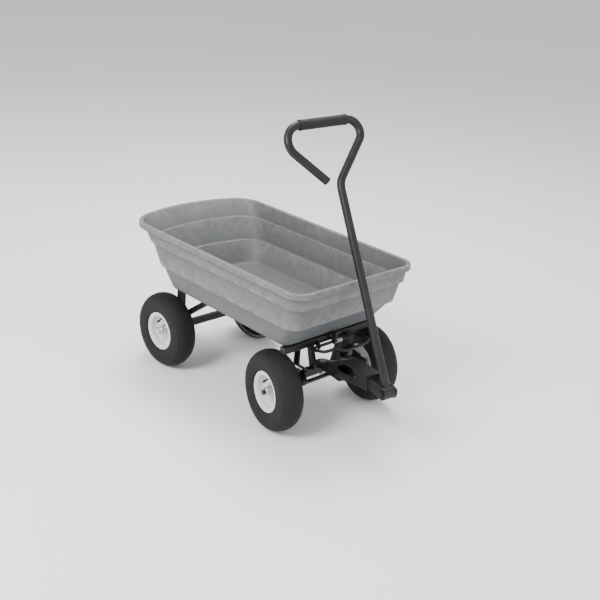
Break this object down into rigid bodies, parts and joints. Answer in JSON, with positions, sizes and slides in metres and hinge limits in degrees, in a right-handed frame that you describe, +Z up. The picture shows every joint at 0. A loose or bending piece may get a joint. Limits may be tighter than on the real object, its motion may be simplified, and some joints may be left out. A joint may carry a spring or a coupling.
{
  "type": "garden cart",
  "caption": "Garden cart with a stepped tipping tub on a tube chassis, pneumatic wheels, tie-rod steering and a folding D-grip pull handle.",
  "frame": {"origin": "on the ground, under the middle of the whole cart's length and width", "axes": "+X towards the pull handle, +Y to the cart's left, +Z up"},
  "size_m": [1.1099, 0.51, 0.95],
  "materials": {
    "tub_poly": "moulded polyethylene with a fine grain",
    "tyre_rubber": "matt black rubber",
    "rim_paint": "light grey gloss paint on pressed steel",
    "valve_rubber": "matt",
    "grip_vinyl": "soft black grip",
    "cap_plastic": "black moulded caps",
    "zinc_steel": "bright zinc plate",
    "frame_paint": "black powder coat"
  },
  "bodies": {
    "chassis": {"side_rail_left": "frame_paint", "side_rail_right": "frame_paint", "front_crossbar": "frame_paint", "rear_crossbar": "frame_paint", "tub_hinge_rod": "zinc_steel", "frame_end_caps": "cap_plastic", "front_leg_left": "frame_paint", "front_leg_right": "frame_paint", "front_strut_left": "frame_paint", "front_strut_right": "frame_paint", "rear_leg_left": "frame_paint", "rear_leg_right": "frame_paint", "rear_brace_left": "frame_paint", "rear_brace_right": "frame_paint", "rail_bow_left": "frame_paint", "rail_bow_right": "frame_paint", "front_beam": "frame_paint", "kingpins": "zinc_steel", "tongue_bolt": "zinc_steel", "rear_axle_beam": "frame_paint", "rear_axle": "zinc_steel", "rear_wheel_keepers": "zinc_steel", "release_lugs": "frame_paint", "release_spring": "zinc_steel"},
    "tub": {"tub": "tub_poly", "tub_strap_left": "frame_paint", "tub_strap_right": "frame_paint", "tub_striker": "frame_paint", "tub_bolts": "zinc_steel"},
    "release": {"release_lever": "frame_paint"},
    "tongue": {"tongue_plate": "frame_paint", "tongue": "frame_paint", "clevis_ears": "frame_paint", "clevis_bolt": "frame_paint"},
    "tie_rod_left": {"tie_rod_left": "frame_paint"},
    "tie_rod_right": {"tie_rod_right": "frame_paint"},
    "knuckle_left": {"knuckle_left": "frame_paint", "front_wheel_keepers_left": "zinc_steel"},
    "knuckle_right": {"knuckle_right": "frame_paint", "front_wheel_keepers_right": "zinc_steel"},
    "handle": {"handle_tube": "frame_paint", "handle_grip": "grip_vinyl", "handle_eye": "frame_paint"},
    "front_left_wheel": {"front_left_tyre": "tyre_rubber", "front_left_rim": "rim_paint", "front_left_hub": "zinc_steel", "front_left_valve": "valve_rubber"},
    "front_right_wheel": {"front_right_tyre": "tyre_rubber", "front_right_rim": "rim_paint", "front_right_hub": "zinc_steel", "front_right_valve": "valve_rubber"},
    "rear_left_wheel": {"rear_left_tyre": "tyre_rubber", "rear_left_rim": "rim_paint", "rear_left_hub": "zinc_steel", "rear_left_valve": "valve_rubber"},
    "rear_right_wheel": {"rear_right_tyre": "tyre_rubber", "rear_right_rim": "rim_paint", "rear_right_hub": "zinc_steel", "rear_right_valve": "valve_rubber"}
  },
  "joints": [
    {"name": "tub_tip", "type": "hinge", "parent": "chassis", "child": "tub", "pos_m": [-0.388, 0, 0.2737], "axis": [0, -1, 0], "range_deg": [0, 60]},
    {"name": "release_press", "type": "hinge", "parent": "chassis", "child": "release", "pos_m": [0.243, 0, 0.262], "axis": [0, 1, 0], "range_deg": [0, 13], "stiffness_Nm_per_rad": 0.5, "springref_deg": -17.19},
    {"name": "tongue_steer", "type": "hinge", "parent": "chassis", "child": "tongue", "pos_m": [0.207, 0, 0.17315], "axis": [0, 0, 1], "range_deg": [-11, 31]},
    {"name": "knuckle_left_steer", "type": "hinge", "parent": "chassis", "child": "knuckle_left", "pos_m": [0.207, 0.115, 0.159], "axis": [0, 0, 1], "range_deg": [-11, 31]},
    {"name": "tie_rod_left_pivot", "type": "hinge", "parent": "tongue", "child": "tie_rod_left", "pos_m": [0.26852, 0.00337, 0.17315], "axis": [0, 0, 1], "range_deg": [-31, 11]},
    {"name": "front_left_wheel_spin", "type": "hinge", "parent": "knuckle_left", "child": "front_left_wheel", "pos_m": [0.22089, 0.19379, 0.13], "axis": [0.1736, 0.9848, 0], "continuous": true},
    {"name": "rear_left_wheel_spin", "type": "hinge", "parent": "chassis", "child": "rear_left_wheel", "pos_m": [-0.364, 0.2, 0.13], "axis": [0, 1, 0], "continuous": true},
    {"name": "knuckle_right_steer", "type": "hinge", "parent": "chassis", "child": "knuckle_right", "pos_m": [0.207, -0.115, 0.159], "axis": [0, 0, 1], "range_deg": [-11, 31]},
    {"name": "tie_rod_right_pivot", "type": "hinge", "parent": "tongue", "child": "tie_rod_right", "pos_m": [0.26366, -0.02421, 0.17315], "axis": [0, 0, 1], "range_deg": [-31, 11]},
    {"name": "front_right_wheel_spin", "type": "hinge", "parent": "knuckle_right", "child": "front_right_wheel", "pos_m": [0.19311, -0.19379, 0.13], "axis": [0.1736, 0.9848, 0], "continuous": true},
    {"name": "rear_right_wheel_spin", "type": "hinge", "parent": "chassis", "child": "rear_right_wheel", "pos_m": [-0.364, -0.2, 0.13], "axis": [0, 1, 0], "continuous": true},
    {"name": "handle_pitch", "type": "hinge", "parent": "tongue", "child": "handle", "pos_m": [0.53297, -0.05748, 0.225], "axis": [0.1736, 0.9848, 0], "range_deg": [0, 130]}
  ],
  "couplings": [
    {"joint": "knuckle_left_steer", "follows": "tongue_steer", "ratio": 1},
    {"joint": "tie_rod_left_pivot", "follows": "tongue_steer", "ratio": -1},
    {"joint": "knuckle_right_steer", "follows": "tongue_steer", "ratio": 1},
    {"joint": "tie_rod_right_pivot", "follows": "tongue_steer", "ratio": -1}
  ]
}
